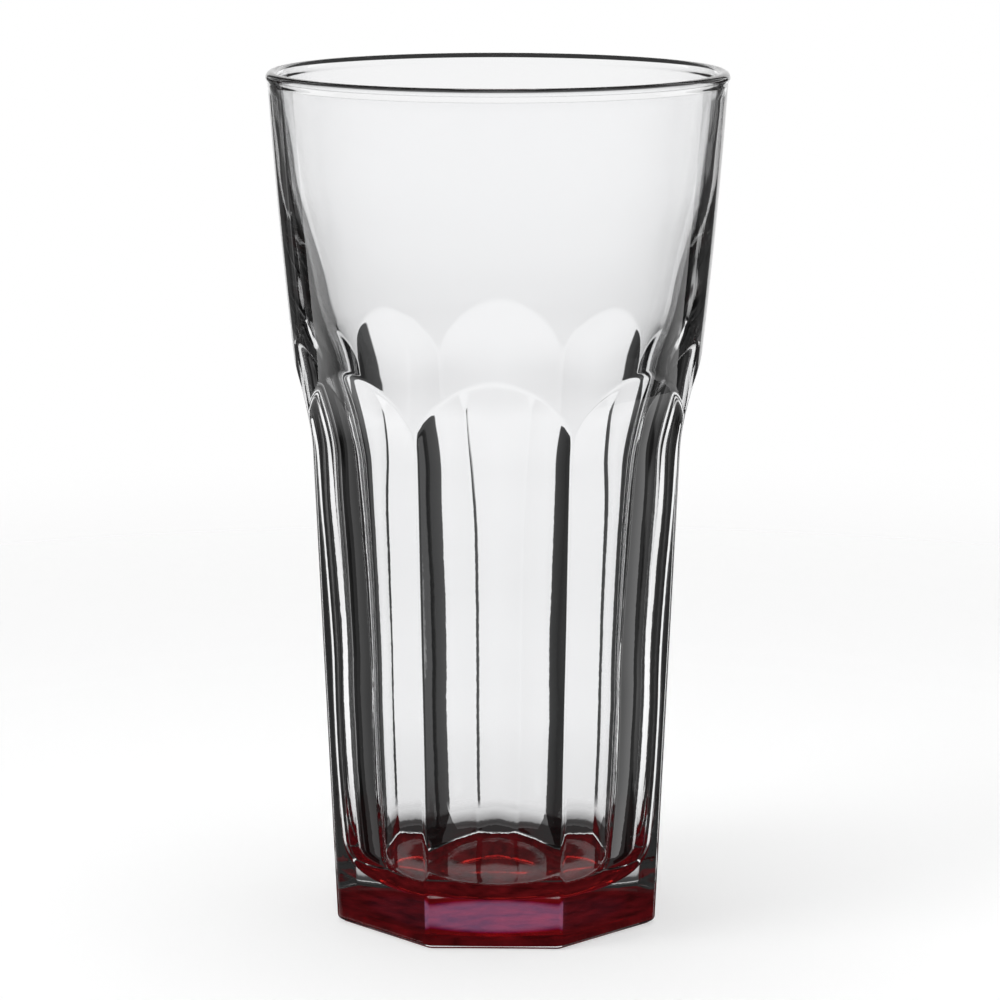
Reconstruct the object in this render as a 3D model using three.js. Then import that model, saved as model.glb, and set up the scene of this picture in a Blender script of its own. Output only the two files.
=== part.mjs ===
// Tall panelled beer glass: pressed clear glass with a red colour coat under its foot.
// Millimetres, +Z up. The glass stands on z = 0 with its axis on Z, and one panel faces -Y.
import * as THREE from 'three';

// Heights, stacked from the table up
const PANEL_HEIGHT = 93.3;
const ARCH_HEIGHT = 16.5;
const SMOOTH_WALL_HEIGHT = 51.6;
const BEAD_HEIGHT = 2.6;

// Outside widths
const FOOT_ACROSS_FLATS = 61.5;
const WAIST_ACROSS_FLATS = 69.5;
const SHOULDER_FLARE = 8.8;
const RIM_DIAMETER = 88;

// Shape of the pressed panels
const PANEL_COUNT = 8;
const COVE_LENGTH = 13.4;
const ARCH_BLEND = 0.6;
const EDGE_RADIUS = 1.5;
const FOOT_ROUND = 1.2;

// Upper wall and rim bead
const WALL_BULGE = 0.28;
const BODY_LEAN = 0.082;
const BEAD_PROUD = 0.42;

// Thickness of the glass at the middle of a panel
const BASE_WALL = 7;
const WAIST_WALL = 5.25;
const SHOULDER_WALL = 6.45;
const UPPER_WALL = 4.15;
const RIM_WALL = 1.18;
const UPPER_WALL_SHARE = 0.314;

// Floor of the inside
const FLOOR_HEIGHT = 7.5;
const FLOOR_FILLET = 8;

// Underside: a flat land round a shallow recess, all covered by the coat
const FOOT_LAND = 2.6;
const RECESS_SLOPE = 1;
const RECESS_DEPTH = 0.9;
const COAT_THICKNESS = 0.25;

// Steps of the surface
const ARCH_BLEND_REACH = 4;
const ARCH_STEPS = 12;
const WALL_STEPS = 4;
const ROUND_STEPS = 3;
const BEAD_STEPS = 6;
const FILLET_STEPS = 6;
const PANEL_STATIONS = [-1, -0.94, -0.66, -0.33, 0, 0.33, 0.66, 0.94];

const QUARTER_TURN = Math.PI / 2;
const FRONT = -QUARTER_TURN;
const HALF_PANEL = Math.PI / PANEL_COUNT;
const SHOULDER_HEIGHT = PANEL_HEIGHT + ARCH_HEIGHT;
const CREASE_HEIGHT = SHOULDER_HEIGHT + SMOOTH_WALL_HEIGHT;
const BEAD_MIDDLE = CREASE_HEIGHT + BEAD_HEIGHT / 2;
const SHOULDER_RADIUS = (WAIST_ACROSS_FLATS + SHOULDER_FLARE) / 2;
const RIM_RADIUS = RIM_DIAMETER / 2;
const CREASE_RADIUS = RIM_RADIUS - BEAD_PROUD;
const MOUTH_RADIUS = CREASE_RADIUS - RIM_WALL;

// A point's angle round the axis, kept with its angle from the middle of its panel
const STATIONS = [];
for (let panel = 0; panel < PANEL_COUNT; panel += 1) {
  const middle = FRONT + 2 * HALF_PANEL * panel;
  for (const share of PANEL_STATIONS) {
    STATIONS.push({ angle: middle + share * HALF_PANEL, fromMiddle: Math.abs(share) * HALF_PANEL });
  }
}

// Distance from the axis to the middle of a panel: flat to the waist, then a cove into a straight ramp
function panelApothem(z) {
  const foot = FOOT_ACROSS_FLATS / 2;
  const waist = WAIST_ACROSS_FLATS / 2;
  const flatSlope = (waist - foot) / PANEL_HEIGHT;
  const above = z - PANEL_HEIGHT;
  if (above <= 0) {
    return foot + flatSlope * z;
  }
  const coveRise = (flatSlope * COVE_LENGTH) / 2;
  const rampSlope = (SHOULDER_RADIUS - waist - coveRise) / (ARCH_HEIGHT - COVE_LENGTH / 2);
  const curved = Math.min(above, COVE_LENGTH);
  const bend = (rampSlope - flatSlope) / COVE_LENGTH;
  const cove = waist + flatSlope * curved + (bend * curved * curved) / 2;
  return cove + rampSlope * (above - curved);
}

// Radius of the round body: a cone that leans out between the arches and swells a little on its way to the rim
function bodyRadius(z) {
  const rise = CREASE_RADIUS - SHOULDER_RADIUS;
  const share = (z - SHOULDER_HEIGHT) / SMOOTH_WALL_HEIGHT;
  if (share < 0) {
    return SHOULDER_RADIUS - BODY_LEAN * (SHOULDER_HEIGHT - z);
  }
  return SHOULDER_RADIUS + share * rise + 4 * WALL_BULGE * share * (1 - share);
}

// Radius of the panelled outline at one angle from a panel's middle, with its upright edges rounded
function panelledRadius(fromMiddle, apothem, edge) {
  const flatEnd = Math.atan(((apothem - edge) * Math.tan(HALF_PANEL)) / apothem);
  if (fromMiddle <= flatEnd) {
    return apothem / Math.cos(fromMiddle);
  }
  const centre = (apothem - edge) / Math.cos(HALF_PANEL);
  const off = fromMiddle - HALF_PANEL;
  return centre * Math.cos(off) + Math.sqrt(edge * edge - (centre * Math.sin(off)) ** 2);
}

// The smaller of two lengths, with a soft change from one to the other
function softMin(a, b, blend) {
  const overlap = Math.max(blend - Math.abs(a - b), 0) / blend;
  return Math.min(a, b) - (overlap * overlap * blend) / 4;
}

function ringOf(z, radiusAt) {
  return STATIONS.map((station) => {
    const radius = radiusAt(station);
    return new THREE.Vector3(radius * Math.cos(station.angle), radius * Math.sin(station.angle), z);
  });
}

function circle(radius, z) {
  return ringOf(z, () => radius);
}

function outerRing(z) {
  const apothem = panelApothem(z);
  const body = bodyRadius(z);
  return ringOf(z, ({ fromMiddle }) => (
    softMin(panelledRadius(fromMiddle, apothem, EDGE_RADIUS), body, ARCH_BLEND)
  ));
}

// Outline of the foot, drawn in by its rounded lower edge
function footRing(inset, z) {
  const apothem = panelApothem(COAT_THICKNESS + FOOT_ROUND) - inset;
  return ringOf(z, ({ fromMiddle }) => panelledRadius(fromMiddle, apothem, EDGE_RADIUS));
}

// Rings of the underside from the middle outwards; the coat has the same ones on its two faces
function undersideRings(z) {
  const land = panelApothem(COAT_THICKNESS + FOOT_ROUND) - FOOT_ROUND;
  const recess = land - FOOT_LAND;
  return [
    circle(recess - RECESS_SLOPE, z + RECESS_DEPTH),
    circle(recess, z),
    footRing(FOOT_ROUND, z),
  ];
}

function footRoundRings() {
  const rings = [];
  for (let step = 1; step <= ROUND_STEPS; step += 1) {
    const turn = (step / ROUND_STEPS) * QUARTER_TURN;
    const inset = FOOT_ROUND * (1 - Math.sin(turn));
    rings.push(footRing(inset, COAT_THICKNESS + FOOT_ROUND * (1 - Math.cos(turn))));
  }
  return rings;
}

function wallRings() {
  const rings = [outerRing(PANEL_HEIGHT)];
  const archReach = ARCH_HEIGHT + ARCH_BLEND_REACH;
  for (let step = 1; step <= ARCH_STEPS; step += 1) {
    rings.push(outerRing(PANEL_HEIGHT + (archReach * step) / ARCH_STEPS));
  }
  const wallStart = PANEL_HEIGHT + archReach;
  for (let step = 1; step <= WALL_STEPS; step += 1) {
    const z = wallStart + ((CREASE_HEIGHT - wallStart) * step) / WALL_STEPS;
    rings.push(circle(bodyRadius(z), z));
  }
  return rings;
}

// Bead: swells out above the crease, then rolls over the rim to the mouth
function beadRings() {
  const rings = [];
  const halfHeight = BEAD_HEIGHT / 2;
  for (let step = 1; step <= ROUND_STEPS; step += 1) {
    const turn = (step / ROUND_STEPS) * QUARTER_TURN;
    const radius = CREASE_RADIUS + BEAD_PROUD * Math.sin(turn);
    rings.push(circle(radius, BEAD_MIDDLE - halfHeight * Math.cos(turn)));
  }
  const middle = (RIM_RADIUS + MOUTH_RADIUS) / 2;
  const halfWidth = (RIM_RADIUS - MOUTH_RADIUS) / 2;
  for (let step = 1; step <= BEAD_STEPS; step += 1) {
    const turn = (step / BEAD_STEPS) * Math.PI;
    rings.push(circle(middle + halfWidth * Math.cos(turn), BEAD_MIDDLE + halfHeight * Math.sin(turn)));
  }
  rings.push(circle(MOUTH_RADIUS, CREASE_HEIGHT));
  return rings;
}

// Inside: a tapered round wall that ends in a fillet on a flat floor
function insideRings() {
  const waist = panelApothem(PANEL_HEIGHT) - WAIST_WALL;
  const floor = panelApothem(FLOOR_HEIGHT) - BASE_WALL;
  const slope = (waist - floor) / (PANEL_HEIGHT - FLOOR_HEIGHT);
  const lean = Math.atan(slope);
  const centre = floor + slope * FLOOR_FILLET - FLOOR_FILLET / Math.cos(lean);
  const upper = SHOULDER_HEIGHT + SMOOTH_WALL_HEIGHT * UPPER_WALL_SHARE;
  const rings = [
    circle(bodyRadius(upper) - UPPER_WALL, upper),
    circle(SHOULDER_RADIUS - SHOULDER_WALL, SHOULDER_HEIGHT),
    circle(waist, PANEL_HEIGHT),
  ];
  for (let step = 0; step <= FILLET_STEPS; step += 1) {
    const turn = lean + (step / FILLET_STEPS) * (QUARTER_TURN - lean);
    const radius = centre + FLOOR_FILLET * Math.cos(turn);
    rings.push(circle(radius, FLOOR_HEIGHT + FLOOR_FILLET * (1 - Math.sin(turn))));
  }
  return rings;
}

// Closed skin over a run of rings, with a point on the axis at each end
function closedSkin(startZ, rings, endZ) {
  const count = STATIONS.length;
  const positions = [0, 0, startZ];
  rings.forEach((ring) => ring.forEach((point) => positions.push(point.x, point.y, point.z)));
  positions.push(0, 0, endZ);
  const vertex = (ring, station) => 1 + ring * count + (station % count);
  const last = rings.length - 1;
  const end = 1 + rings.length * count;
  const faces = [];
  for (let station = 0; station < count; station += 1) {
    faces.push(0, vertex(0, station + 1), vertex(0, station));
    for (let ring = 0; ring < last; ring += 1) {
      const here = vertex(ring, station);
      const across = vertex(ring + 1, station + 1);
      faces.push(here, vertex(ring, station + 1), across);
      faces.push(here, across, vertex(ring + 1, station));
    }
    faces.push(end, vertex(last, station), vertex(last, station + 1));
  }
  const geometry = new THREE.BufferGeometry();
  geometry.setAttribute('position', new THREE.Float32BufferAttribute(positions, 3));
  geometry.setIndex(faces);
  geometry.computeVertexNormals();
  return geometry;
}

function glassBody() {
  const rings = [
    ...undersideRings(COAT_THICKNESS),
    ...footRoundRings(),
    ...wallRings(),
    ...beadRings(),
    ...insideRings(),
  ];
  const geometry = closedSkin(COAT_THICKNESS + RECESS_DEPTH, rings, FLOOR_HEIGHT);
  const clearGlass = new THREE.MeshStandardMaterial({
    color: 0xf4f7f7,
    roughness: 0.04,
    metalness: 0,
    transparent: true,
    opacity: 0.35,
  });
  const mesh = new THREE.Mesh(geometry, clearGlass);
  mesh.name = 'glass_body';
  return mesh;
}

function redBaseCoat() {
  const lower = undersideRings(0);
  const upper = undersideRings(COAT_THICKNESS).reverse();
  const geometry = closedSkin(RECESS_DEPTH, [...lower, ...upper], COAT_THICKNESS + RECESS_DEPTH);
  const redLacquer = new THREE.MeshStandardMaterial({ color: 0x9c0d10, roughness: 0.3, metalness: 0 });
  const mesh = new THREE.Mesh(geometry, redLacquer);
  mesh.name = 'red_base_coat';
  return mesh;
}

const beerGlass = new THREE.Group();
beerGlass.add(glassBody(), redBaseCoat());

export default beerGlass;
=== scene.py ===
# %% [markdown]
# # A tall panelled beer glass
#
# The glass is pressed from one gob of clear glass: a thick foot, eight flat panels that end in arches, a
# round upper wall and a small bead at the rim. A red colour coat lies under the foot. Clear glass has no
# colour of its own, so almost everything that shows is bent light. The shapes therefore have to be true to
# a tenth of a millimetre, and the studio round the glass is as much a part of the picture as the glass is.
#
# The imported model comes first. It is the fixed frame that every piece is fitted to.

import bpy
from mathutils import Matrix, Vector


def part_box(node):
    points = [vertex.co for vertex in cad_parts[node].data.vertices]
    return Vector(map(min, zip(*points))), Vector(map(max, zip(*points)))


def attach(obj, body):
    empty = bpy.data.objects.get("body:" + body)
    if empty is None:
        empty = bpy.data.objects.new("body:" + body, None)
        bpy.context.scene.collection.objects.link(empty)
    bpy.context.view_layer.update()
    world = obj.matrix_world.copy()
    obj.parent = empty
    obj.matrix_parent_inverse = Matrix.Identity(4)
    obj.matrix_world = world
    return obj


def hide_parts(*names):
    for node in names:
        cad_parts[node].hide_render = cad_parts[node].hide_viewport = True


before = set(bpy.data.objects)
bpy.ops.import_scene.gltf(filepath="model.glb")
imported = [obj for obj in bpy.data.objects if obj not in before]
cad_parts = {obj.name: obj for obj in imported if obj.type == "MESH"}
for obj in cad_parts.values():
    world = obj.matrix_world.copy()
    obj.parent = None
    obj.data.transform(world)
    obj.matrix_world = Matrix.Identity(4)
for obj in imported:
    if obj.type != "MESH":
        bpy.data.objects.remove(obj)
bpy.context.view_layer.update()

# %% Tools and units
import math

import bpy
from mathutils import Matrix, Vector

MM = 0.001
scene = bpy.context.scene
scene.view_settings.view_transform = "Standard"
print("lengths are in metres, and colours use the", scene.view_settings.view_transform, "view")

# %% [markdown]
# ## The sizes of the glass
#
# What the frame can tell is read from it: the rim's radius, the height, the coat's thickness and the depth
# of the recess. The heights and widths of the outside are the solid model's own. The roundness of the edges
# and arches, the wall at the rim and the curve of the inside are finer here than in the solids, because
# they decide how the light bends.

# %% Sizes read from the frame
glass_low, glass_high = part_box("glass_body")
coat_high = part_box("red_base_coat")[1]
RIM_RADIUS = glass_high.x
TOP = glass_high.z
COAT_THICKNESS = glass_low.z
RECESS_DEPTH = coat_high.z - COAT_THICKNESS
print("rim radius", RIM_RADIUS, "height", TOP, "coat", COAT_THICKNESS, "recess", RECESS_DEPTH)

# %% Sizes of the outside
PANELS = 8
PANEL_HEIGHT = 93.3 * MM
ARCH_HEIGHT = 16.5 * MM
FOOT_APOTHEM = 30.75 * MM
WAIST_APOTHEM = 34.75 * MM
SHOULDER_RADIUS = 39.15 * MM
COVE_LENGTH = 13.4 * MM
ARCH_BLEND = 0.25 * MM
EDGE_RADIUS = 1.9 * MM
PANEL_HOLLOW = 0.03 * MM
FOOT_ROUND = 1.2 * MM
WALL_BULGE = 0.28 * MM
BEAD_HEIGHT = 2.6 * MM
BEAD_PROUD = 0.42 * MM
# Slopes of the round body: beside the arches, and below them, where it keeps clear of the panels' edges
BODY_LEAN = 0.082
CORNER_FREE = 0.25

QUARTER_TURN = math.pi / 2
FRONT = -QUARTER_TURN
HALF_PANEL = math.pi / PANELS
SHOULDER_HEIGHT = PANEL_HEIGHT + ARCH_HEIGHT
CREASE_HEIGHT = TOP - BEAD_HEIGHT
CREASE_RADIUS = RIM_RADIUS - BEAD_PROUD
print("shoulder at", SHOULDER_HEIGHT, "and crease under the bead at", CREASE_HEIGHT)

# %% [markdown]
# ## The rule of the outline
#
# Every height of the outside is a circle that eight planes have cut into. Cutting a turned body with eight
# slabs would give that shape too, but with knife edges. Here two curves give it: how far the middle of a
# panel lies from the axis, and how wide the round body is. Where the two meet, the fire polish has left a
# soft arch, which a soft minimum makes. The upright edges between panels are small arcs.


# %% Curves up the outside
def panel_apothem(z):
    """From the axis to the middle of a panel: straight to the waist, then a cove into a straight ramp."""
    slope = (WAIST_APOTHEM - FOOT_APOTHEM) / PANEL_HEIGHT
    above = z - PANEL_HEIGHT
    if above <= 0:
        return FOOT_APOTHEM + slope * z
    rise = SHOULDER_RADIUS - WAIST_APOTHEM - slope * COVE_LENGTH / 2
    ramp = rise / (ARCH_HEIGHT - COVE_LENGTH / 2)
    curved = min(above, COVE_LENGTH)
    bend = (ramp - slope) / COVE_LENGTH
    return WAIST_APOTHEM + slope * curved + bend * curved**2 / 2 + ramp * (above - curved)


def body_radius(z):
    """Radius of the round body: a cone that flares a little towards the rim."""
    rise = CREASE_RADIUS - SHOULDER_RADIUS
    share = (z - SHOULDER_HEIGHT) / (CREASE_HEIGHT - SHOULDER_HEIGHT)
    if z < PANEL_HEIGHT:
        return SHOULDER_RADIUS - BODY_LEAN * ARCH_HEIGHT + CORNER_FREE * (PANEL_HEIGHT - z)
    if share < 0:
        return SHOULDER_RADIUS - BODY_LEAN * (SHOULDER_HEIGHT - z)
    return SHOULDER_RADIUS + share * rise + 4 * WALL_BULGE * share * (1 - share)


print("at the waist, panel", panel_apothem(PANEL_HEIGHT), "and round body", body_radius(PANEL_HEIGHT))


# %% Outline at a height
def panelled_radius(angle, apothem):
    """Radius of the eight-sided outline at an angle from a panel's middle, with its edges rounded."""
    flat_end = math.atan((apothem - EDGE_RADIUS) * math.tan(HALF_PANEL) / apothem)
    if abs(angle) <= flat_end:
        across = math.tan(angle) / math.tan(HALF_PANEL)
        return (apothem - PANEL_HOLLOW * (1 - across**2)) / math.cos(angle)
    centre = (apothem - EDGE_RADIUS) / math.cos(HALF_PANEL)
    off = abs(angle) - HALF_PANEL
    return centre * math.cos(off) + math.sqrt(EDGE_RADIUS**2 - (centre * math.sin(off)) ** 2)


def soft_min(a, b, blend):
    """The smaller of two lengths, with a soft change from one to the other."""
    overlap = max(blend - abs(a - b), 0) / blend
    return min(a, b) - overlap**2 * blend / 4


def outer_radius(angle, z):
    """Radius of the finished outside."""
    return soft_min(panelled_radius(angle, panel_apothem(z)), body_radius(z), ARCH_BLEND)


print("at the foot, middle of a panel", outer_radius(0, 0), "and its edge", outer_radius(HALF_PANEL, 0))

# %% [markdown]
# ## One panel's share of the skin
#
# A closed skin runs from the middle of the underside, up the outside, over the rim and down the inside to
# the middle of the floor. Only one panel's share of it is written, as rows of points at stations along that
# route, close together where the surface bends. A coarse mesh under a Subdivision Surface would be less
# work, but it pulls the flats in. Refraction needs a fine, even mesh, because a lens shows every facet.
#
# A row is a function here: it takes an angle from the panel's middle and gives a radius and a height.


# %% Rows of points
def spaced(start, end, steps):
    """Values from just after start to end."""
    return [start + (end - start) * step / steps for step in range(1, steps + 1)]


def circle_row(radius, z):
    return lambda angle: (radius, z)


def foot_row(inset, z):
    apothem = panel_apothem(COAT_THICKNESS + FOOT_ROUND) - inset
    return lambda angle: (panelled_radius(angle, apothem), z)


def wall_row(z):
    return lambda angle: (outer_radius(angle, z), z)


print("in the middle of a panel, the waist's row gives", wall_row(PANEL_HEIGHT)(0))

# %% [markdown]
# ### The underside
#
# The glass stands on a flat land round a shallow recess, so that it doesn't rock. The same rows, at other
# heights, make the underside of the glass and both faces of the coat, so the two pieces fit by themselves.

# %% Rows of the underside
FOOT_LAND = 2.6 * MM
RECESS_SLOPE = 1 * MM
UNDERSIDE_STEPS = 6


def underside_rows(z):
    """From near the axis out to the foot's edge: the recess, its sloping side and the flat land."""
    land = panel_apothem(COAT_THICKNESS + FOOT_ROUND) - FOOT_ROUND
    recess = land - FOOT_LAND
    inner = recess - RECESS_SLOPE
    rows = [circle_row(radius, z + RECESS_DEPTH) for radius in spaced(0, inner, UNDERSIDE_STEPS)]
    for share in spaced(0, 1, UNDERSIDE_STEPS):
        drop = RECESS_DEPTH * (1 + math.cos(share * math.pi)) / 2
        rows.append(circle_row(inner + RECESS_SLOPE * share, z + drop))
    return rows + [foot_row(FOOT_ROUND, z)]


print(len(underside_rows(0)), "rows under the foot")

# %% [markdown]
# ### The arches
#
# Each panel ends in a round arch, where its flat runs out into the round body. Level rows would cross that
# line at a slant and leave steps in it. These rows run along the arch instead: the height at which panel
# and body meet is found by halving, and the rows crowd towards it from both sides.

# %% Rows along the arches
HALVINGS = 40
ARCH_HEIGHTS = {}


def arch_height(angle):
    """Height at which the panel meets the round body, found by halving."""
    low, high = PANEL_HEIGHT - COVE_LENGTH, SHOULDER_HEIGHT + COVE_LENGTH
    for halving in range(HALVINGS):
        middle = (low + high) / 2
        if panelled_radius(angle, panel_apothem(middle)) < body_radius(middle):
            low = middle
        else:
            high = middle
    return low


def arch_row(share, start, end):
    """A row along the arches: share is -1 at the start height, 0 on the arch line and 1 at the end."""

    def place(angle):
        if angle not in ARCH_HEIGHTS:
            ARCH_HEIGHTS[angle] = arch_height(angle)
        line = ARCH_HEIGHTS[angle]
        far = start if share < 0 else end
        z = line + (far - line) * abs(share)
        return outer_radius(angle, z), z

    return place


print("the arch line rises from", arch_height(HALF_PANEL), "to", arch_height(0))

# %% Rows of the outside
FOOT_STEPS = 8
PANEL_STEPS = 28
ARCH_STEPS = 22
UPPER_STEPS = 24
# How far below the panels' top and above the shoulder the rows start and stop bending, and how they crowd
ARCH_REACH = (4 * MM, 5 * MM)
ARCH_CROWDING = 1.8


def outside_rows():
    """Round the foot's lower edge, up the panels, through the arches and up to the crease."""
    rows = []
    for turn in spaced(0, QUARTER_TURN, FOOT_STEPS):
        z = COAT_THICKNESS + FOOT_ROUND * (1 - math.cos(turn))
        rows.append(foot_row(FOOT_ROUND * (1 - math.sin(turn)), z))
    arch_start = PANEL_HEIGHT - ARCH_REACH[0]
    arch_end = SHOULDER_HEIGHT + ARCH_REACH[1]
    rows += [wall_row(z) for z in spaced(COAT_THICKNESS + FOOT_ROUND, arch_start, PANEL_STEPS)]
    for share in spaced(-1, 1, 2 * ARCH_STEPS):
        rows.append(arch_row(math.copysign(abs(share) ** ARCH_CROWDING, share), arch_start, arch_end))
    rows += [wall_row(z) for z in spaced(arch_end, CREASE_HEIGHT, UPPER_STEPS)]
    return rows


print(len(outside_rows()), "rows up the outside")

# %% [markdown]
# ### The bead and the rim
#
# The fire polish has left the rim as a round bead, a little proud of the wall outside. A bevelled edge
# would be quicker, but the bead draws the thin dark lines along the rim, so its roundness matters: half a
# circle over the top, and a soft swell on each side that runs into the wall without a corner.

# %% Rows of the bead
RIM_ROUND = 1.25 * MM
RIM_WALL = 1.98 * MM
MOUTH_RADIUS = CREASE_RADIUS - RIM_WALL
BEAD_STEPS = 8


def bead_rows():
    """Out from the crease, over the rounded rim and in to the mouth."""
    middle = RIM_RADIUS - RIM_ROUND
    equator = TOP - RIM_ROUND
    swell = equator - CREASE_HEIGHT
    lip = MOUTH_RADIUS - (middle - RIM_ROUND)
    rows = []
    for turn in spaced(0, math.pi, BEAD_STEPS):
        radius = CREASE_RADIUS + BEAD_PROUD * (1 - math.cos(turn)) / 2
        rows.append(circle_row(radius, CREASE_HEIGHT + swell * turn / math.pi))
    for turn in spaced(0, math.pi, 2 * BEAD_STEPS):
        rows.append(circle_row(middle + RIM_ROUND * math.cos(turn), equator + RIM_ROUND * math.sin(turn)))
    for turn in spaced(0, math.pi, BEAD_STEPS)[:-1]:
        radius = MOUTH_RADIUS - lip * (1 + math.cos(turn)) / 2
        rows.append(circle_row(radius, equator - swell * turn / math.pi))
    return rows


print(len(bead_rows()), "rows over the rim, to a mouth of radius", MOUTH_RADIUS)

# %% [markdown]
# ### The inside
#
# A plunger forms the inside: a smooth taper, a round corner and a floor that is slightly dished. It shows
# only by what it does to the light, so it is one smooth curve through a few stations, which are easy to
# move. It isn't quite round either. It waves by a fifth of a millimetre in step with the panels, and that
# is enough to draw the fine upright lines in the front panel.

# %% Curve of the inside
# Height and radius in millimetres, from the fillet to the mouth
INSIDE = [(8, 23.8), (25, 25.5), (40, 26.2), (52, 26.4), (65, 27.2), (80, 28.4), (93.5, 29.4)]
INSIDE += [(105, 31.4), (117, 34.5), (126, 36.4), (139, 38.9), (150, 40.35), (161.4, 41.6)]


def inside_radius(z):
    """A smooth curve through the inside's stations."""
    heights = [height * MM for height, radius in INSIDE]
    radii = [radius * MM for height, radius in INSIDE]
    last = len(heights) - 1
    here = next((k for k in range(last) if z <= heights[k + 1]), last - 1)

    def slope(k):
        before, after = max(k - 1, 0), min(k + 1, last)
        return (radii[after] - radii[before]) / (heights[after] - heights[before])

    span = heights[here + 1] - heights[here]
    t = (z - heights[here]) / span
    start = (2 * t**3 - 3 * t**2 + 1) * radii[here] + (t**3 - 2 * t**2 + t) * span * slope(here)
    return start + (3 * t**2 - 2 * t**3) * radii[here + 1] + (t**3 - t**2) * span * slope(here + 1)


print("the inside's radius at the waist is", inside_radius(PANEL_HEIGHT))

# %% Floor of the cup
FLOOR_HEIGHT = 7.5 * MM
FLOOR_FILLET = 8 * MM
FLOOR_DISH = math.radians(9)


def fillet_seat():
    """The wall's lean at the fillet, the fillet's top and the radius of its middle."""
    low = FLOOR_HEIGHT + FLOOR_FILLET
    lean = math.atan((inside_radius(low + MM) - inside_radius(low)) / MM)
    top = FLOOR_HEIGHT + FLOOR_FILLET * (1 - math.sin(lean))
    return lean, top, inside_radius(top) - FLOOR_FILLET * math.cos(lean)


def floor_height(radius):
    """The floor of the cup is a shallow dish, which the fillet runs into."""
    edge = fillet_seat()[2] + FLOOR_FILLET * math.sin(FLOOR_DISH)
    edge_height = FLOOR_HEIGHT + FLOOR_FILLET * (1 - math.cos(FLOOR_DISH))
    return edge_height - math.tan(FLOOR_DISH) * (edge * edge - radius * radius) / (2 * edge)


print("the middle of the floor is at", floor_height(0))

# %% Rows of the inside
INSIDE_WAVE = 0.2 * MM
INSIDE_RIPPLE = 0.05 * MM
# Heights between which the wave dies out
WAVE_TOP = (80 * MM, 104 * MM)
INSIDE_STEPS = 80
FILLET_STEPS = 16
FLOOR_STEPS = 12


def waved_row(radius, z, share):
    """A ring of the inside that waves a little in step with the panels."""

    def place(angle):
        wave = INSIDE_WAVE * math.cos(PANELS * angle) + INSIDE_RIPPLE * math.cos(2 * PANELS * angle)
        return radius + share * wave, z

    return place


def inside_rows():
    """From the mouth down the tapered wall, round the fillet and in to the middle of the floor."""
    lean, fillet_top, centre = fillet_seat()
    rows = [circle_row(MOUTH_RADIUS, CREASE_HEIGHT)]
    for z in spaced(CREASE_HEIGHT, fillet_top, INSIDE_STEPS):
        share = min(max((WAVE_TOP[1] - z) / (WAVE_TOP[1] - WAVE_TOP[0]), 0), 1)
        rows.append(waved_row(inside_radius(z), z, share * share * (3 - 2 * share)))
    for turn in spaced(lean, QUARTER_TURN - FLOOR_DISH, FILLET_STEPS):
        z = FLOOR_HEIGHT + FLOOR_FILLET * (1 - math.sin(turn))
        rows.append(waved_row(centre + FLOOR_FILLET * math.cos(turn), z, math.cos(turn)))
    edge = centre + FLOOR_FILLET * math.sin(FLOOR_DISH)
    rows += [circle_row(radius, floor_height(radius)) for radius in spaced(edge, 0, FLOOR_STEPS)[:-1]]
    return rows


print(len(inside_rows()), "rows down the inside")

# %% [markdown]
# ### From rows to a mesh
#
# The rows are crossed by columns, which stand close together in the rounded edge between two panels, where
# the outside turns fastest. A point on the axis closes each end of the skin, and four neighbours make a
# face, always in the same order, so that every face points outwards.

# %% Columns of a panel
EDGE_START = math.radians(21.4)
FLAT_COLUMNS = 13
EDGE_COLUMNS = 7
half_columns = [0.0, *spaced(0, EDGE_START, FLAT_COLUMNS), *spaced(EDGE_START, HALF_PANEL, EDGE_COLUMNS)]
COLUMNS = [-angle for angle in reversed(half_columns)] + half_columns[1:]
print(len(COLUMNS), "columns across a panel")


# %% Mesh of a panel's share
def sector_mesh(name, start_z, rows, end_z):
    """One panel's share of a closed skin, with a point on the axis at each end of its rows."""
    points = [(0, 0, start_z)]
    for place_at in rows:
        for angle in COLUMNS:
            radius, z = place_at(angle)
            points.append((radius * math.cos(FRONT + angle), radius * math.sin(FRONT + angle), z))
    points.append((0, 0, end_z))
    width = len(COLUMNS)
    faces = []
    for column in range(width - 1):
        faces.append((0, 2 + column, 1 + column))
        for row in range(len(rows) - 1):
            here = 1 + row * width + column
            faces.append((here, here + 1, here + width + 1, here + width))
        last = 1 + (len(rows) - 1) * width + column
        faces.append((len(points) - 1, last, last + 1))
    mesh = bpy.data.meshes.new(name)
    mesh.from_pydata(points, [], faces)
    print(name, "has", len(rows), "rows and", len(points), "points")
    return mesh


# %% [markdown]
# ## Eight panels from one
#
# A mould for such a glass is cut panel by panel. A small Geometry Nodes tree does the same: it sets the one
# share round the axis eight times, welds the seams and gives the result its finish. An Array modifier round
# an empty would do too, but the tree has named inputs and makes both the glass and the coat. The result is
# turned into a plain mesh, because the frame wants finished pieces.


# %% Helpers for node trees
def fill(tree, socket, value):
    """Set an input, or link it where the value comes out of another node."""
    if isinstance(value, bpy.types.NodeSocket):
        tree.links.new(value, socket)
    else:
        socket.default_value = value


def add_node(tree, kind, **inputs):
    """A node with some of its inputs filled; an input's name has _ for each space."""
    node = tree.nodes.new(kind)
    for name, value in inputs.items():
        fill(tree, node.inputs[name.replace("_", " ")], value)
    return node


def math_node(tree, operation, first, second):
    node = tree.nodes.new("ShaderNodeMath")
    node.operation = operation
    fill(tree, node.inputs[0], first)
    fill(tree, node.inputs[1], second)
    return node.outputs[0]


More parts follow.
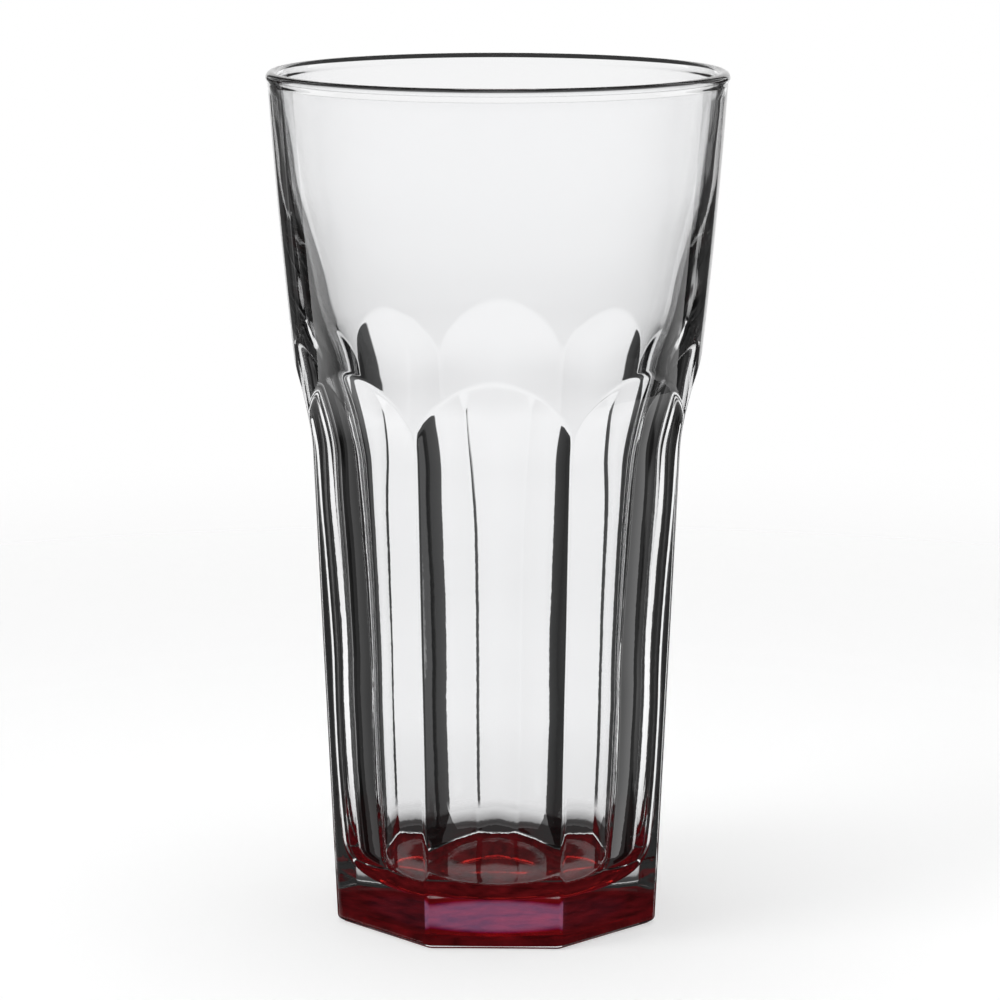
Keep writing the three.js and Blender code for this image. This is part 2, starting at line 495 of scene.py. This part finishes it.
# %% Tree that repeats a share round the axis
def repeat_round_axis():
    tree = bpy.data.node_groups.new("repeat_round_axis", "GeometryNodeTree")
    sockets = {}
    for name, kind in (("Share", "Geometry"), ("Copies", "Int"), ("Weld", "Float"), ("Finish", "Material")):
        sockets[name] = tree.interface.new_socket(name, in_out="INPUT", socket_type="NodeSocket" + kind)
    tree.interface.new_socket("Piece", in_out="OUTPUT", socket_type="NodeSocketGeometry")
    given = tree.nodes.new("NodeGroupInput").outputs
    index = tree.nodes.new("GeometryNodeInputIndex").outputs[0]
    step = math_node(tree, "DIVIDE", math.tau, given["Copies"])
    turn = add_node(tree, "ShaderNodeCombineXYZ", Z=math_node(tree, "MULTIPLY", index, step))
    rotation = add_node(tree, "FunctionNodeEulerToRotation", Euler=turn.outputs[0])
    points = add_node(tree, "GeometryNodePoints", Count=given["Copies"])
    copies = add_node(
        tree,
        "GeometryNodeInstanceOnPoints",
        Points=points.outputs[0],
        Instance=given["Share"],
        Rotation=rotation.outputs[0],
    )
    real = add_node(tree, "GeometryNodeRealizeInstances", Geometry=copies.outputs[0])
    welded = add_node(tree, "GeometryNodeMergeByDistance", Geometry=real.outputs[0], Distance=given["Weld"])
    smooth = add_node(tree, "GeometryNodeSetShadeSmooth", Geometry=welded.outputs[0])
    finished = add_node(
        tree, "GeometryNodeSetMaterial", Geometry=smooth.outputs[0], Material=given["Finish"]
    )
    add_node(tree, "NodeGroupOutput", Piece=finished.outputs[0])
    return tree, {name: socket.identifier for name, socket in sockets.items()}


PANEL_TREE, PANEL_INPUTS = repeat_round_axis()
print(PANEL_TREE.name, "takes", ", ".join(PANEL_INPUTS))

# %% A finished piece from one share
WELD_DISTANCE = 0.002 * MM


def panelled_piece(name, share, finish):
    piece = bpy.data.objects.new(name, share)
    scene.collection.objects.link(piece)
    repeat = piece.modifiers.new("repeat", "NODES")
    repeat.node_group = PANEL_TREE
    repeat[PANEL_INPUTS["Copies"]] = PANELS
    repeat[PANEL_INPUTS["Weld"]] = WELD_DISTANCE
    repeat[PANEL_INPUTS["Finish"]] = finish
    depsgraph = bpy.context.evaluated_depsgraph_get()
    whole = bpy.data.meshes.new_from_object(piece.evaluated_get(depsgraph))
    piece.modifiers.clear()
    piece.data = whole
    whole.name = name
    print(name, "has", len(whole.vertices), "points and", len(whole.polygons), "faces")
    return piece


# %% [markdown]
# ## Clear pressed glass
#
# Pressed glass is smooth but never optically flat: the mould leaves slow ripples, a few millimetres long
# and a few microns deep, and a finer grain on the panels. Both bend what is seen through the glass. They
# are far too shallow for a mesh, so they are bumps on an otherwise perfectly clear Principled surface. The
# colour is almost white, with the faint cool cast of soda glass.


# %% Helpers for finishes
def new_finish(name):
    """A material, its node tree and its Principled surface."""
    material = bpy.data.materials.new(name)
    material.use_nodes = True
    tree = material.node_tree
    return material, tree, tree.nodes["Principled BSDF"]


def object_place(tree):
    """Where a point of the surface lies, in metres from its object's origin."""
    return tree.nodes.new("ShaderNodeTexCoord").outputs["Object"]


def map_range(tree, value, start, end, low=0, high=1, smooth=False):
    """From low to high, as a value goes from start to end."""
    node = add_node(
        tree, "ShaderNodeMapRange", Value=value, From_Min=start, From_Max=end, To_Min=low, To_Max=high
    )
    if smooth:
        node.interpolation_type = "SMOOTHSTEP"
    return node.outputs[0]


# %% Finish of the glass
GLASS_IOR = 1.52
GLASS_TINT = (0.992, 0.994, 0.999, 1)
RIPPLE_SCALE = 140
RIPPLE_DEPTH = 0.02 * MM
GRAIN_SCALE = 800
GRAIN_DETAIL = 2
GRAIN_ROUGHNESS = 0.5
GRAIN_DEPTH = 0.004 * MM
# Heights between which the grain dies out
GRAIN_TOP = (78 * MM, 92 * MM)


def clear_glass():
    material, tree, surface = new_finish("clear_pressed_glass")
    surface.inputs["Base Color"].default_value = GLASS_TINT
    surface.inputs["Roughness"].default_value = 0
    surface.inputs["IOR"].default_value = GLASS_IOR
    surface.inputs["Transmission Weight"].default_value = 1
    place = object_place(tree)
    ripple = add_node(tree, "ShaderNodeTexNoise", Vector=place, Scale=RIPPLE_SCALE, Detail=0)
    bump = add_node(tree, "ShaderNodeBump", Height=ripple.outputs[0], Distance=RIPPLE_DEPTH, Strength=1)
    grain = add_node(
        tree,
        "ShaderNodeTexNoise",
        Vector=place,
        Scale=GRAIN_SCALE,
        Detail=GRAIN_DETAIL,
        Roughness=GRAIN_ROUGHNESS,
    )
    height = add_node(tree, "ShaderNodeSeparateXYZ", Vector=place).outputs["Z"]
    mark = add_node(
        tree,
        "ShaderNodeBump",
        Height=grain.outputs[0],
        Distance=GRAIN_DEPTH,
        Strength=map_range(tree, height, *GRAIN_TOP, low=1, high=0),
        Normal=bump.outputs[0],
    )
    tree.links.new(mark.outputs[0], surface.inputs["Normal"])
    print("made", material.name, "with an index of", GLASS_IOR)
    return material


# %% [markdown]
# ## Red colour coat
#
# The underside carries a thin translucent lacquer. It is seen only through the foot, where it looks deep
# red, with lighter, more orange streaks where it is thin. Seen at a low angle it mirrors what is behind it.
# A clear red film would have to be lit from below, so this is a glossy metallic red, which mirrors well,
# with a cloudy colour. The tint of its mirroring is a painted reflection: lilac in the middle, darker on the
# land.
#
# The pale table under a real film lights it a little. A faint glow of painted light stands for that, and it
# fades for light that has met many surfaces, so that the wall of the glass isn't full of red.


# %% Helpers for colours that change
def colour_ramp(tree, share, stops):
    """Colours along a share from nought to one; a stop is a spot and its colour."""
    ramp = add_node(tree, "ShaderNodeValToRGB", Fac=share)
    elements = ramp.color_ramp.elements
    # New stops start in the middle, and get their spots below
    while len(elements) < len(stops):
        elements.new(0.5)
    for element, (spot, colour) in zip(elements, stops):
        element.position = spot
        element.color = colour
    return ramp.outputs[0]


def length_of(tree, vector):
    node = tree.nodes.new("ShaderNodeVectorMath")
    node.operation = "LENGTH"
    tree.links.new(vector, node.inputs[0])
    return node.outputs["Value"]


def light_path(tree, fact):
    """What is known about the light that meets a surface."""
    return tree.nodes.new("ShaderNodeLightPath").outputs[fact]


def short_path(tree, depths):
    """One for light that met few surfaces, nought for light that was guided along the wall."""
    return map_range(tree, light_path(tree, "Ray Depth"), *depths, low=1, high=0)


# %% Finish of the coat
RED_DEEP = (0.3, 0.004, 0.006, 1)
RED_BRIGHT = (0.72, 0.035, 0.02, 1)
CLOUD_SCALE = 160
CLOUD_DETAIL = 4
CLOUD_ROUGHNESS = 0.6
CLOUD_RANGE = (0.35, 0.75)
COAT_ROUGHNESS = 0.06
# Painted reflection: the tint of the coat's mirroring, in the middle and on the land, and where it changes
PAINTED_REFLECTION_MIDDLE = (0.55, 0.46, 0.74, 1)
PAINTED_REFLECTION_LAND = (0.16, 0.02, 0.025, 1)
PAINTED_REFLECTION_REACH = (13 * MM, 21 * MM)
# Painted light from the table: colour, strength where the film is thick and thin, surfaces passed before it
# fades
COAT_PAINTED_LIGHT = (0.24, 0.01, 0.015, 1)
PAINTED_LIGHT_STRENGTH = (0.1, 0.38)
PAINTED_LIGHT_DEPTH = (5, 8)


def red_lacquer():
    material, tree, surface = new_finish("red_lacquer")
    surface.inputs["Metallic"].default_value = 1
    surface.inputs["Roughness"].default_value = COAT_ROUGHNESS
    surface.inputs["Emission Color"].default_value = COAT_PAINTED_LIGHT
    place = object_place(tree)
    cloud = add_node(
        tree,
        "ShaderNodeTexNoise",
        Vector=place,
        Scale=CLOUD_SCALE,
        Detail=CLOUD_DETAIL,
        Roughness=CLOUD_ROUGHNESS,
    ).outputs[0]
    red = colour_ramp(tree, cloud, [(CLOUD_RANGE[0], RED_DEEP), (CLOUD_RANGE[1], RED_BRIGHT)])
    tree.links.new(red, surface.inputs["Base Color"])
    # Painted reflection: the mirroring is tinted lilac in the middle and dark out on the land
    outward = map_range(tree, length_of(tree, place), *PAINTED_REFLECTION_REACH, smooth=True)
    edge = colour_ramp(tree, outward, [(0, PAINTED_REFLECTION_MIDDLE), (1, PAINTED_REFLECTION_LAND)])
    tree.links.new(edge, surface.inputs["Specular Tint"])
    # Painted light: a glow that stands for the table lighting the film from below, fading after a few
    # surfaces
    painted_light_share = map_range(tree, cloud, *CLOUD_RANGE, *PAINTED_LIGHT_STRENGTH)
    glow = math_node(tree, "MULTIPLY", short_path(tree, PAINTED_LIGHT_DEPTH), painted_light_share)
    tree.links.new(glow, surface.inputs["Emission Strength"])
    print("made", material.name, "with a roughness of", COAT_ROUGHNESS)
    return material


# %% [markdown]
# ## The two pieces
#
# With the rows and the finishes at hand, each piece is one call. It is then attached to the root body, and
# the solid that it replaces is hidden. The coat reaches a little into the glass, so that no film of air
# shows between them. Clear glass lets nearly all light through to the table, and Blender would draw its
# shadow as if it were solid, so only the coat casts one.

# %% Make the glass
glass = panelled_piece(
    "pressed_glass",
    sector_mesh(
        "glass_share",
        COAT_THICKNESS + RECESS_DEPTH,
        underside_rows(COAT_THICKNESS) + outside_rows() + bead_rows() + inside_rows(),
        floor_height(0),
    ),
    clear_glass(),
)
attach(glass, "root")
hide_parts("glass_body")
glass.visible_shadow = False

# %% Make the coat
BOND = 0.03 * MM
coat_top = COAT_THICKNESS + BOND
coat = panelled_piece(
    "red_coat",
    sector_mesh(
        "coat_share",
        RECESS_DEPTH,
        underside_rows(0) + underside_rows(coat_top)[::-1],
        coat_top + RECESS_DEPTH,
    ),
    red_lacquer(),
)
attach(coat, "root")
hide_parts("red_base_coat")

# %% [markdown]
# ## The camera
#
# The camera stands where the photograph was taken from: the outline of the rim and the corners of the foot
# give its distance, height, pitch and lens. Refraction changes quickly with the angle, so a camera that is
# only roughly right would put every band of light in the wrong place.

# %% Camera
CAMERA_DISTANCE = 726.8 * MM
CAMERA_HEIGHT = 221.9 * MM
CAMERA_ROUND = math.radians(1.09)
CAMERA_PITCH = math.radians(10.97)
CAMERA_YAW = math.radians(0.036)
CAMERA_ROLL = math.radians(0.046)
SENSOR = 36
FOCAL_PIXELS = 3827
FRAME_PIXELS = 1000

camera_data = bpy.data.cameras.new("camera")
camera_data.sensor_width = SENSOR
camera_data.lens = SENSOR * FOCAL_PIXELS / FRAME_PIXELS
camera = bpy.data.objects.new("camera", camera_data)
scene.collection.objects.link(camera)
scene.camera = camera
stand = Matrix.Translation(
    (CAMERA_DISTANCE * math.sin(CAMERA_ROUND), -CAMERA_DISTANCE * math.cos(CAMERA_ROUND), CAMERA_HEIGHT)
)
heading = Matrix.Rotation(CAMERA_ROUND - CAMERA_YAW, 4, "Z")
aim = heading @ Matrix.Rotation(QUARTER_TURN - CAMERA_PITCH, 4, "X")
camera.matrix_world = stand @ aim @ Matrix.Rotation(CAMERA_ROLL, 4, "Z")
print("the camera is at", tuple(camera.location), "with a lens of", camera_data.lens, "mm")

# %% [markdown]
# ## The studio
#
# Clear glass is photographed in a bright field: a white card stands behind it, a little wider than the
# glass, in an otherwise dark room. Rays that pass straight through meet the card and stay white, and rays
# that an edge bends meet the dark room and draw that edge. Light from all round would leave the glass
# nearly invisible. The camera itself sees a white room, so that the background is white without more lamps.

# %% Room
ROOM_GREY = 0.025


def dark_room():
    """A room that is dark to the glass and white to the camera."""
    world = bpy.data.worlds.new("studio")
    world.use_nodes = True
    tree = world.node_tree
    shade = map_range(tree, light_path(tree, "Is Camera Ray"), 0, 1, low=ROOM_GREY, high=1)
    tree.links.new(shade, tree.nodes["Background"].inputs["Color"])
    return world


scene.world = dark_room()
print("the glass stands in a room of grey", ROOM_GREY)


# %% Plates of the studio
def stage_piece(name, mesh):
    """An object of the studio, which isn't a piece of the glass."""
    piece = bpy.data.objects.new(name, mesh)
    scene.collection.objects.link(piece)
    return piece


def flat_plate(name, half_width, half_height):
    mesh = bpy.data.meshes.new(name)
    corners = [(-half_width, -half_height, 0), (half_width, -half_height, 0)]
    corners += [(half_width, half_height, 0), (-half_width, half_height, 0)]
    mesh.from_pydata(corners, [], [(0, 1, 2, 3)])
    print(name, "measures", 2 * half_width, "by", 2 * half_height, "metres")
    return stage_piece(name, mesh)


def glowing(name, level_in):
    """A finish that only gives light; level_in adds the nodes for its level."""
    material, tree, surface = new_finish(name)
    tree.nodes.remove(surface)
    light = add_node(tree, "ShaderNodeEmission", Strength=level_in(tree))
    tree.links.new(light.outputs[0], tree.nodes["Material Output"].inputs["Surface"])
    return material


def level_ramp(tree, share, stops):
    """Levels of white along a share from nought to one."""
    return colour_ramp(tree, share, [(spot, (level, level, level, 1)) for spot, level in stops])


def show_in_glass_only(plate):
    plate.visible_camera = False
    plate.visible_diffuse = False
    plate.visible_shadow = False


# %% [markdown]
# ### The card behind the glass
#
# A real bright field isn't even: it has a white middle, grey wings and a table below, and each of them shows
# as a band somewhere in the glass. Several cards would do, but one card with levels is easier to set. They
# are given by angle, as the glass sees them. The card hangs on the camera, so the field is the same from
# every side. It is dimmer for light that has met many surfaces. For light that crossed one wall only, which
# comes from the rim, it ends higher up, because the rim looks over the near table at the dark beyond it.

# %% Levels of the card
CARD_BEHIND = 4000 * MM
CARD_HALF_ANGLE = 50
CARD_REACH = CARD_BEHIND * math.tan(math.radians(CARD_HALF_ANGLE))
# Degrees to the right of the camera's line of sight, and the share of white there
CARD_ACROSS = [(-50, 0.02), (-41.5, 0.02), (-40.5, 0.06), (-39.5, 0.36), (-38.6, 0.36), (-37.8, 0.11)]
CARD_ACROSS += [(-33.6, 0.1), (-32.6, 0.018), (-29.6, 0.018), (-28.4, 0.06), (-24, 0.07), (-17.8, 0.09)]
CARD_ACROSS += [(-17.3, 1), (21.5, 1), (22, 0.07), (27, 0.045), (30, 0.03), (34, 0.05), (50, 0.09)]
# Degrees above the camera's line of sight
CARD_UPWARDS = [(-27, 0.03), (-25, 0.12), (-16.5, 0.13), (-15, 0.45), (-13, 0.75), (-10.5, 0.88)]
CARD_UPWARDS += [(-6, 0.96), (-3, 1.03), (1, 1.07), (4, 1.08), (10, 1), (17, 0.98), (20, 0.5), (29, 0.48)]
CARD_UPWARDS += [(30.5, 0.05), (40, 0.03)]
# The same for light that met fewer surfaces than RIM_DEPTH
RIM_DEPTH = 2.5
CARD_FROM_RIM = [(-5, 0.04), (-3.5, 0.12), (-2, 1), (36, 1), (40, 0.03)]
# Surfaces that light may pass before it fades, and where it is gone
CARD_DEPTH = (7, 8.5)


def glow_curve(tree, value, stops):
    """Levels along the card, with stops given in degrees."""
    share = map_range(tree, value, -CARD_REACH, CARD_REACH)
    edge = math.tan(math.radians(CARD_HALF_ANGLE))
    spots = [((math.tan(math.radians(degrees)) / edge + 1) / 2, level) for degrees, level in stops]
    return level_ramp(tree, share, spots)


def card_level(tree):
    axes = add_node(tree, "ShaderNodeSeparateXYZ", Vector=object_place(tree)).outputs
    upwards = add_node(
        tree,
        "ShaderNodeMix",
        Factor=math_node(tree, "LESS_THAN", light_path(tree, "Ray Depth"), RIM_DEPTH),
        A=glow_curve(tree, axes["Y"], CARD_UPWARDS),
        B=glow_curve(tree, axes["Y"], CARD_FROM_RIM),
    )
    level = math_node(tree, "MULTIPLY", glow_curve(tree, axes["X"], CARD_ACROSS), upwards.outputs[0])
    return math_node(tree, "MULTIPLY", level, short_path(tree, CARD_DEPTH))


print("the card has", len(CARD_ACROSS), "levels across and", len(CARD_UPWARDS), "upwards")


# %% White card
def hang_on_camera(plate, place, turn):
    plate.parent = camera
    plate.location = place
    plate.rotation_euler = turn
    show_in_glass_only(plate)


axis_depth = math.hypot(CAMERA_DISTANCE, CAMERA_HEIGHT - TOP / 2)
card = flat_plate("bright_card", CARD_REACH, CARD_REACH)
card.data.materials.append(glowing("bright_card", card_level))
hang_on_camera(card, (0, 0, -(axis_depth + CARD_BEHIND)), (0, 0, 0))

# %% [markdown]
# ### The panels at the sides
#
# Two tall white panels stand to the left and right, a little behind the glass. Its outside mirrors them as
# the soft upright streaks that show how smooth it is. Lamps of that size would light the table too. For
# light that went through the glass they are nearly dark, so that they don't fill the field's dark edges.

# %% White panels beside the glass
SIDE_REACH = 1500 * MM
SIDE_ROUND = math.radians(111.5)
SIDE_HALF_WIDTH = 305 * MM
SIDE_HALF_HEIGHT = 900 * MM
# Share of the width from the end by the camera, and the level there
SIDE_LEVELS = [(0, 0.02), (0.3, 0.7), (0.7, 1.15), (1, 1.4)]
# Side, name, and the part of its level that light through the glass meets there
SIDES = [(-1, "left_panel", 0.05), (1, "right_panel", 0.12)]


def side_level(side, through):
    def level_in(tree):
        across = add_node(tree, "ShaderNodeSeparateXYZ", Vector=object_place(tree)).outputs["X"]
        share = map_range(tree, across, -side * SIDE_HALF_WIDTH, side * SIDE_HALF_WIDTH)
        passed = light_path(tree, "Is Transmission Ray")
        dim = map_range(tree, passed, 0, 1, low=1, high=through)
        return math_node(tree, "MULTIPLY", level_ramp(tree, share, SIDE_LEVELS), dim)

    return level_in


for side, name, through in SIDES:
    panel = flat_plate(name, SIDE_HALF_WIDTH, SIDE_HALF_HEIGHT)
    panel.data.materials.append(glowing("side_panel", side_level(side, through)))
    place = (side * SIDE_REACH * math.sin(SIDE_ROUND), 0, SIDE_REACH * math.cos(SIDE_ROUND) - axis_depth)
    hang_on_camera(panel, place, (0, side * SIDE_ROUND, 0))

# %% [markdown]
# ### The table behind the foot
#
# The red floor of the glass mirrors a strip of table just behind the foot: dark in the foot's own shadow,
# then pale. A lit floor would show in the whole glass and fog its bands. A small sector of a ring, seen
# through the glass only, gives that strip alone, with the foot's shadow painted into its levels as a dark
# band near the axis, and it turns clear at its outer end, where a plain edge would draw a line.

# %% Bright table
TABLE_REACH = (35 * MM, 72 * MM)
TABLE_FADE = (54 * MM, 72 * MM)
TABLE_HALF_ANGLE = math.radians(34)
TABLE_COLUMNS = 24
TABLE_LIFT = 0.05 * MM
# Millimetres from the glass's axis, and the level there; the low levels next to the foot are its painted
# shadow
TABLE_LEVELS = [(35, 0.08), (37, 0.05), (39, 0.07), (40.5, 0.34), (44, 0.5), (48, 0.66), (52, 0.77)]
TABLE_LEVELS += [(72, 0.86)]


def table_level(tree):
    near, far = TABLE_REACH
    share = map_range(tree, length_of(tree, object_place(tree)), near, far)
    stops = [((spot * MM - near) / (far - near), level) for spot, level in TABLE_LEVELS]
    return level_ramp(tree, share, stops)


def fade_to_clear(tree, surface, reach, smooth=False):
    """Let a surface turn clear between two distances from its object's origin."""
    share = map_range(tree, length_of(tree, object_place(tree)), *reach, smooth=smooth)
    mix = add_node(tree, "ShaderNodeMixShader", Fac=share)
    tree.links.new(surface.outputs[0], mix.inputs[1])
    tree.links.new(tree.nodes.new("ShaderNodeBsdfTransparent").outputs[0], mix.inputs[2])
    tree.links.new(mix.outputs[0], tree.nodes["Material Output"].inputs["Surface"])


def table_sector():
    mesh = bpy.data.meshes.new("bright_table")
    turns = [-TABLE_HALF_ANGLE, *spaced(-TABLE_HALF_ANGLE, TABLE_HALF_ANGLE, TABLE_COLUMNS)]
    points = []
    for reach in TABLE_REACH:
        points += [(reach * math.sin(turn), reach * math.cos(turn), TABLE_LIFT) for turn in turns]
    width = len(turns)
    faces = [(k + 1, k, k + width, k + width + 1) for k in range(TABLE_COLUMNS)]
    mesh.from_pydata(points, [], faces)
    return mesh


table = stage_piece("bright_table", table_sector())
table_finish = glowing("bright_table", table_level)
fade_to_clear(table_finish.node_tree, table_finish.node_tree.nodes["Emission"], TABLE_FADE)
table.data.materials.append(table_finish)
show_in_glass_only(table)
table.visible_glossy = False
print("the bright table has", len(table.data.polygons), "faces")

# %% [markdown]
# ### The floor
#
# The glass stands on a plain white surface that has no edge. A large white plane would show its far edge,
# so this one turns clear towards its rim and runs out into the white room. It keeps the coat's soft shadow.
# A little light of its own, for the camera only, lifts it to white without more lamps.

# %% Floor
FLOOR_REACH = 600 * MM
FLOOR_FADE = (150 * MM, 500 * MM)
FLOOR_LIFT = 0.25
FLOOR_WHITE = (0.86, 0.86, 0.86, 1)


def pale_floor():
    material, tree, surface = new_finish("pale_floor")
    surface.inputs["Base Color"].default_value = FLOOR_WHITE
    surface.inputs["Roughness"].default_value = 1
    surface.inputs["Specular IOR Level"].default_value = 0
    surface.inputs["Emission Color"].default_value = FLOOR_WHITE
    lift = math_node(tree, "MULTIPLY", light_path(tree, "Is Camera Ray"), FLOOR_LIFT)
    tree.links.new(lift, surface.inputs["Emission Strength"])
    fade_to_clear(tree, surface, FLOOR_FADE, smooth=True)
    return material


floor = flat_plate("floor", FLOOR_REACH, FLOOR_REACH)
floor.data.materials.append(pale_floor())
floor.visible_transmission = False
floor.visible_glossy = False

# %% [markdown]
# ### Lamps
#
# The bright field lights the glass, so the lamps are for the floor and the soft shadow on it. They are
# large discs, and they are hidden from mirrors and from light through the glass, where they would show as
# hard spots.

# %% Soft lamps
# Name, place and aim in metres, width in metres, and watts
LAMPS = [
    ("overhead", (0, 0.1, 1.1), (0, 0, 0), 0.9, 8),
    ("left", (-0.8, -0.4, 0.6), (0, 0, 0.05), 0.6, 4),
    ("right", (0.8, -0.4, 0.6), (0, 0, 0.05), 0.6, 4),
]


def soft_lamp(name, place, aim_at, size, watts):
    data = bpy.data.lights.new(name, "AREA")
    data.shape = "DISK"
    data.size = size
    data.energy = watts
    lamp = bpy.data.objects.new(name, data)
    scene.collection.objects.link(lamp)
    lamp.location = place
    lamp.rotation_mode = "QUATERNION"
    lamp.rotation_quaternion = (Vector(aim_at) - Vector(place)).to_track_quat("-Z", "Y")
    lamp.visible_glossy = False
    lamp.visible_transmission = False
    print("lamp", name, "has", watts, "watts")


for lamp_sizes in LAMPS:
    soft_lamp(*lamp_sizes)

# %% [markdown]
# ### Light bounces
#
# A ray meets four surfaces to cross the glass once, and many more where the wall guides it. With Blender's
# usual limits such rays stop early and leave black patches in the foot, so the limits go up.

# %% Bounces that glass needs
BOUNCES = 32
scene.cycles.max_bounces = BOUNCES
scene.cycles.transmission_bounces = BOUNCES
scene.cycles.glossy_bounces = BOUNCES
scene.cycles.transparent_max_bounces = BOUNCES
print("light may bounce", scene.cycles.max_bounces, "times")
